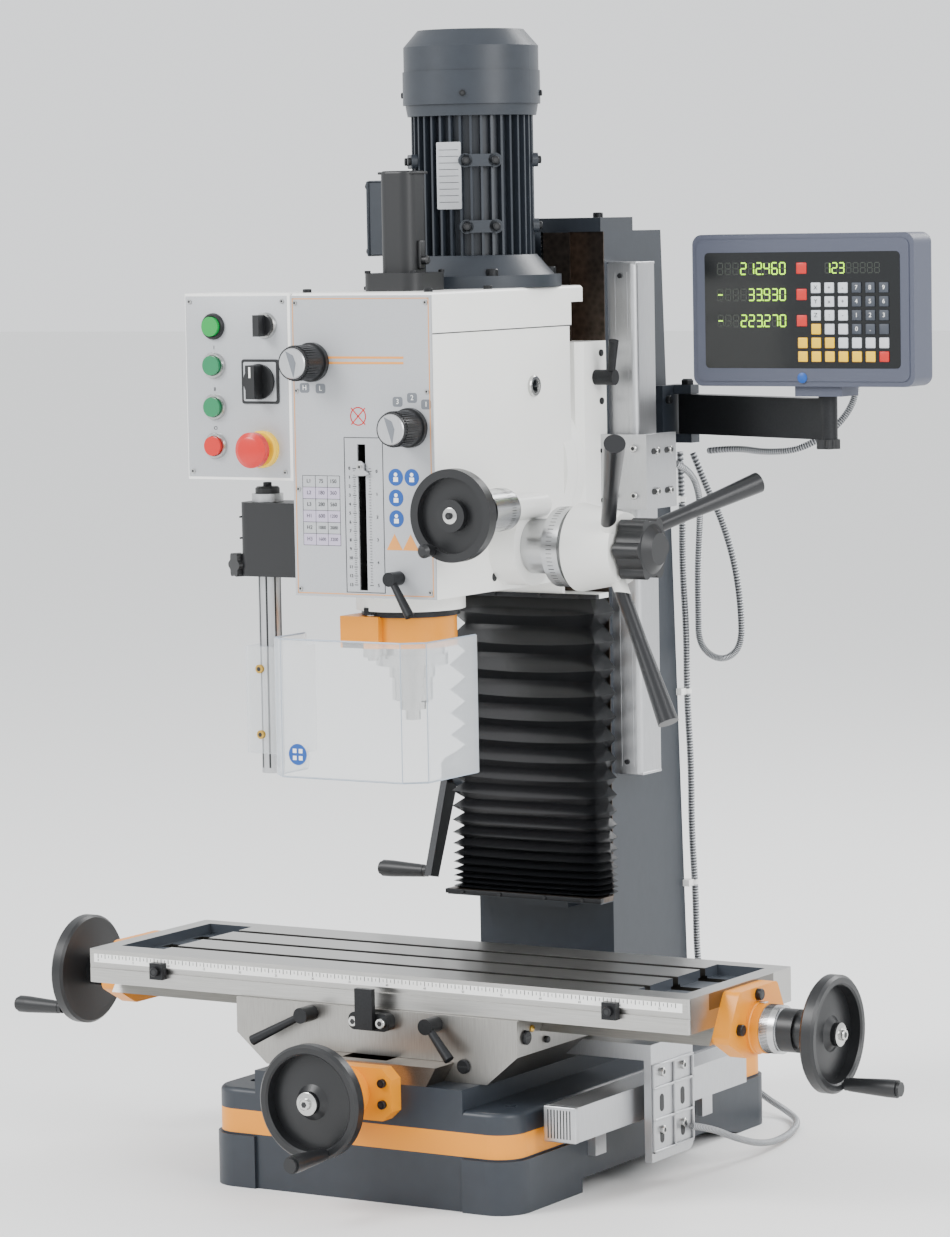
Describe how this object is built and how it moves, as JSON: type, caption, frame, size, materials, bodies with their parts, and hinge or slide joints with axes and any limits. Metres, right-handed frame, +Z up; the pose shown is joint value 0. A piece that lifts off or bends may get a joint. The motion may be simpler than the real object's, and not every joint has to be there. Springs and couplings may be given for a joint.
{
  "type": "vertical milling machine",
  "caption": "Bench vertical milling machine with tilting geared head, dovetail column, cross table, read-out and chip guard",
  "frame": {"origin": "floor level in the machine's plane of symmetry, 200 mm behind the front of the base", "axes": "+X to the operator's right along the table, +Y from the operator to the column, +Z up"},
  "size_m": [1.154, 0.8084, 1.307],
  "materials": {
    "painted_white": "warm white machine paint, lightly orange-peeled",
    "painted_blue_grey": "dark blue-grey machine paint on castings",
    "painted_yellow": "orange-yellow machine paint",
    "slate_paint": "slate blue-grey powder coat",
    "scraped_iron": "machined and scraped grey iron",
    "ground_iron": "surface-ground grey iron, lightly oiled",
    "ground_steel": "ground bright steel",
    "blackened_steel": "oil-blackened steel",
    "aluminium": "extruded and die-cast aluminium",
    "silver_panel": "silver anodised panel with fine grain",
    "bronze": "cast bronze nuts",
    "rubber": "black rubberised bellows cloth",
    "cable_steel": "armoured spiral steel conduit",
    "black_plastic": "black moulded plastic",
    "green_plastic": "green push button lens",
    "red_plastic": "red moulded plastic",
    "clear_plastic": "clear polycarbonate sheet"
  },
  "bodies": {
    "frame": {"base_casting": "painted_blue_grey", "column_casting": "painted_blue_grey", "y_screw_bracket": "painted_yellow", "scale_covers": "aluminium", "way_bellows": "rubber", "cable_z": "cable_steel", "cable_y": "cable_steel"},
    "saddle": {"saddle_casting": "scraped_iron", "feed_nuts": "bronze", "stop_block": "blackened_steel", "y_reader_bracket": "aluminium"},
    "saddle_clamp_left": {"saddle_clamp_left": "blackened_steel"},
    "saddle_clamp_right": {"saddle_clamp_right": "blackened_steel"},
    "table": {"table_casting": "ground_iron", "x_screw_brackets": "painted_yellow"},
    "table_stop_left": {"table_stop_left": "blackened_steel"},
    "table_stop_right": {"table_stop_right": "blackened_steel"},
    "x_drive": {"x_screw": "ground_steel", "x_handwheels": "black_plastic"},
    "x_grip_left": {"x_grip_left": "black_plastic"},
    "x_grip_right": {"x_grip_right": "black_plastic"},
    "y_drive": {"y_screw": "ground_steel", "y_handwheel": "black_plastic"},
    "y_grip": {"y_grip": "black_plastic"},
    "z_crank": {"z_crank": "blackened_steel"},
    "z_crank_grip": {"z_crank_grip": "black_plastic"},
    "z_screw": {"z_screw": "ground_steel"},
    "z_slide": {"z_slide_casting": "painted_white", "z_reader_bracket": "aluminium"},
    "z_clamp": {"z_clamp_lever": "blackened_steel"},
    "head": {"head_casting": "painted_white", "head_lid": "painted_white", "front_panel": "silver_panel", "control_box": "painted_white", "drawbar_cover": "black_plastic", "motor_housing": "painted_blue_grey", "motor_fan_cover": "painted_blue_grey", "guard_block": "black_plastic"},
    "motor_rotor": {"motor_rotor": "ground_steel"},
    "guard_post": {"guard_post": "aluminium"},
    "guard_shield": {"guard_shield": "clear_plastic"},
    "quill": {"quill": "ground_steel", "depth_stop": "painted_yellow"},
    "spindle": {"spindle": "ground_steel"},
    "feed_hub": {"feed_hub": "aluminium"},
    "star_knob": {"star_knob": "black_plastic"},
    "fine_feed_wheel": {"fine_feed_wheel": "black_plastic"},
    "range_knob": {"range_knob": "black_plastic"},
    "speed_knob": {"speed_knob": "black_plastic"},
    "quill_lock": {"quill_lock_lever": "blackened_steel"},
    "power_button": {"power_button": "green_plastic"},
    "start_button": {"start_button": "green_plastic"},
    "reverse_button": {"reverse_button": "green_plastic"},
    "stop_button": {"stop_button": "red_plastic"},
    "estop_button": {"estop_button": "red_plastic"},
    "mode_selector": {"mode_selector": "black_plastic"},
    "main_switch": {"main_switch": "red_plastic"},
    "dro_arm": {"dro_arm": "slate_paint", "cable_dro": "cable_steel"},
    "dro_housing": {"dro_housing": "slate_paint"}
  },
  "joints": [
    {"name": "saddle_slide", "type": "slide", "parent": "frame", "child": "saddle", "axis": [0, 1, 0], "range_m": [-0.085, 0.095]},
    {"name": "y_drive_turn", "type": "hinge", "parent": "frame", "child": "y_drive", "pos_m": [0, 0, 0.127], "axis": [0, 1, 0], "range_deg": [-6127.2, 6847.2]},
    {"name": "y_grip_turn", "type": "hinge", "parent": "y_drive", "child": "y_grip", "pos_m": [0.02, -0.3, 0.0725], "axis": [0, 1, 0], "continuous": true},
    {"name": "table_slide", "type": "slide", "parent": "saddle", "child": "table", "axis": [1, 0, 0], "range_m": [-0.205, 0.205]},
    {"name": "x_drive_turn", "type": "hinge", "parent": "table", "child": "x_drive", "pos_m": [0, -0.035, 0.202], "axis": [1, 0, 0], "range_deg": [-14767.2, 14767.2]},
    {"name": "x_grip_left_turn", "type": "hinge", "parent": "x_drive", "child": "x_grip_left", "pos_m": [-0.499, -0.075, 0.16], "axis": [1, 0, 0], "continuous": true},
    {"name": "x_grip_right_turn", "type": "hinge", "parent": "x_drive", "child": "x_grip_right", "pos_m": [0.52, -0.022, 0.145], "axis": [1, 0, 0], "continuous": true},
    {"name": "z_slide_travel", "type": "slide", "parent": "frame", "child": "z_slide", "axis": [0, 0, 1], "range_m": [-0.21, 0.115], "deforming": ["way_bellows"]},
    {"name": "z_crank_turn", "type": "hinge", "parent": "frame", "child": "z_crank", "pos_m": [0, 0.255, 0.428], "axis": [1, 0, 0], "range_deg": [-18909, 10359]},
    {"name": "z_screw_turn", "type": "hinge", "parent": "frame", "child": "z_screw", "pos_m": [0, 0.255, 0.7], "axis": [0, 0, 1], "range_deg": [-18909, 10359]},
    {"name": "z_crank_grip_turn", "type": "hinge", "parent": "z_crank", "child": "z_crank_grip", "pos_m": [-0.157, 0.207, 0.308], "axis": [1, 0, 0], "continuous": true},
    {"name": "z_clamp_turn", "type": "hinge", "parent": "z_slide", "child": "z_clamp", "pos_m": [0.094, 0.195, 0.905], "axis": [1, 0, 0], "range_deg": [-25, 60]},
    {"name": "head_tilt", "type": "hinge", "parent": "z_slide", "child": "head", "pos_m": [0, 0.142, 0.803], "axis": [0, 1, 0], "range_deg": [-60, 60]},
    {"name": "motor_turn", "type": "hinge", "parent": "head", "child": "motor_rotor", "pos_m": [0, 0.083, 1.1], "axis": [0, 0, 1], "continuous": true},
    {"name": "quill_feed", "type": "hinge", "parent": "head", "child": "feed_hub", "pos_m": [0, -0.005, 0.7235], "axis": [1, 0, 0], "range_deg": [0, 286.4]},
    {"name": "quill_travel", "type": "slide", "parent": "head", "child": "quill", "axis": [0, 0, -1], "range_m": [0, 0.13]},
    {"name": "spindle_turn", "type": "hinge", "parent": "quill", "child": "spindle", "pos_m": [0, -0.068, 0.7], "axis": [0, 0, 1], "continuous": true},
    {"name": "star_knob_turn", "type": "hinge", "parent": "feed_hub", "child": "star_knob", "pos_m": [0.248, -0.005, 0.7235], "axis": [1, 0, 0], "range_deg": [0, 70]},
    {"name": "fine_feed_turn", "type": "hinge", "parent": "head", "child": "fine_feed_wheel", "pos_m": [0.125, -0.12, 0.769], "axis": [0, 1, 0], "continuous": true},
    {"name": "range_knob_turn", "type": "hinge", "parent": "head", "child": "range_knob", "pos_m": [-0.064, -0.162, 0.936], "axis": [0, -1, 0], "range_deg": [0, 90]},
    {"name": "speed_knob_turn", "type": "hinge", "parent": "head", "child": "speed_knob", "pos_m": [0.064, -0.162, 0.864], "axis": [0, -1, 0], "range_deg": [0, 150]},
    {"name": "quill_lock_turn", "type": "hinge", "parent": "head", "child": "quill_lock", "pos_m": [0.045, -0.162, 0.697], "axis": [0, -1, 0], "range_deg": [-45, 45]},
    {"name": "power_button_press", "type": "slide", "parent": "head", "child": "power_button", "axis": [0, 1, 0], "range_m": [0, 0.003], "stiffness_N_per_m": 600},
    {"name": "start_button_press", "type": "slide", "parent": "head", "child": "start_button", "axis": [0, 1, 0], "range_m": [0, 0.004], "stiffness_N_per_m": 600},
    {"name": "reverse_button_press", "type": "slide", "parent": "head", "child": "reverse_button", "axis": [0, 1, 0], "range_m": [0, 0.004], "stiffness_N_per_m": 600},
    {"name": "stop_button_press", "type": "slide", "parent": "head", "child": "stop_button", "axis": [0, 1, 0], "range_m": [0, 0.004], "stiffness_N_per_m": 600},
    {"name": "estop_press", "type": "slide", "parent": "head", "child": "estop_button", "axis": [0, 1, 0], "range_m": [0, 0.006], "stiffness_N_per_m": 1500},
    {"name": "mode_selector_turn", "type": "hinge", "parent": "head", "child": "mode_selector", "pos_m": [-0.126, -0.162, 0.977], "axis": [0, -1, 0], "range_deg": [-45, 45]},
    {"name": "main_switch_turn", "type": "hinge", "parent": "head", "child": "main_switch", "pos_m": [-0.134, -0.162, 0.914], "axis": [0, -1, 0], "range_deg": [0, 90]},
    {"name": "guard_swing", "type": "hinge", "parent": "head", "child": "guard_post", "pos_m": [-0.157, -0.12, 0.7], "axis": [0, 0, -1], "range_deg": [0, 100]},
    {"name": "guard_height", "type": "slide", "parent": "guard_post", "child": "guard_shield", "axis": [0, 0, 1], "range_m": [-0.008, 0.018]},
    {"name": "saddle_clamp_left_turn", "type": "hinge", "parent": "saddle", "child": "saddle_clamp_left", "pos_m": [-0.084, -0.162, 0.2], "axis": [0, 1, 0], "range_deg": [-8, 35]},
    {"name": "saddle_clamp_right_turn", "type": "hinge", "parent": "saddle", "child": "saddle_clamp_right", "pos_m": [0.082, -0.162, 0.2], "axis": [0, -1, 0], "range_deg": [-8, 35]},
    {"name": "table_stop_left_slide", "type": "slide", "parent": "table", "child": "table_stop_left", "axis": [1, 0, 0], "range_m": [-0.08, 0.015]},
    {"name": "table_stop_right_slide", "type": "slide", "parent": "table", "child": "table_stop_right", "axis": [1, 0, 0], "range_m": [-0.02, 0.08]},
    {"name": "dro_arm_swing", "type": "hinge", "parent": "frame", "child": "dro_arm", "pos_m": [0.118, 0.372, 0.85], "axis": [0, 0, 1], "range_deg": [-10, 100]},
    {"name": "dro_turn", "type": "hinge", "parent": "dro_arm", "child": "dro_housing", "pos_m": [0.352, 0.282, 0.9], "axis": [0, 0, 1], "range_deg": [-40, 40]}
  ],
  "couplings": [
    {"joint": "y_drive_turn", "follows": "saddle_slide", "rad_per_m": 1256.6},
    {"joint": "x_drive_turn", "follows": "table_slide", "rad_per_m": 1256.6},
    {"joint": "z_crank_turn", "follows": "z_slide_travel", "rad_per_m": 1570.8},
    {"joint": "z_screw_turn", "follows": "z_slide_travel", "rad_per_m": 1570.8},
    {"joint": "quill_travel", "follows": "quill_feed", "m_per_rad": 0.026},
    {"joint": "spindle_turn", "follows": "motor_turn", "ratio": 1}
  ]
}
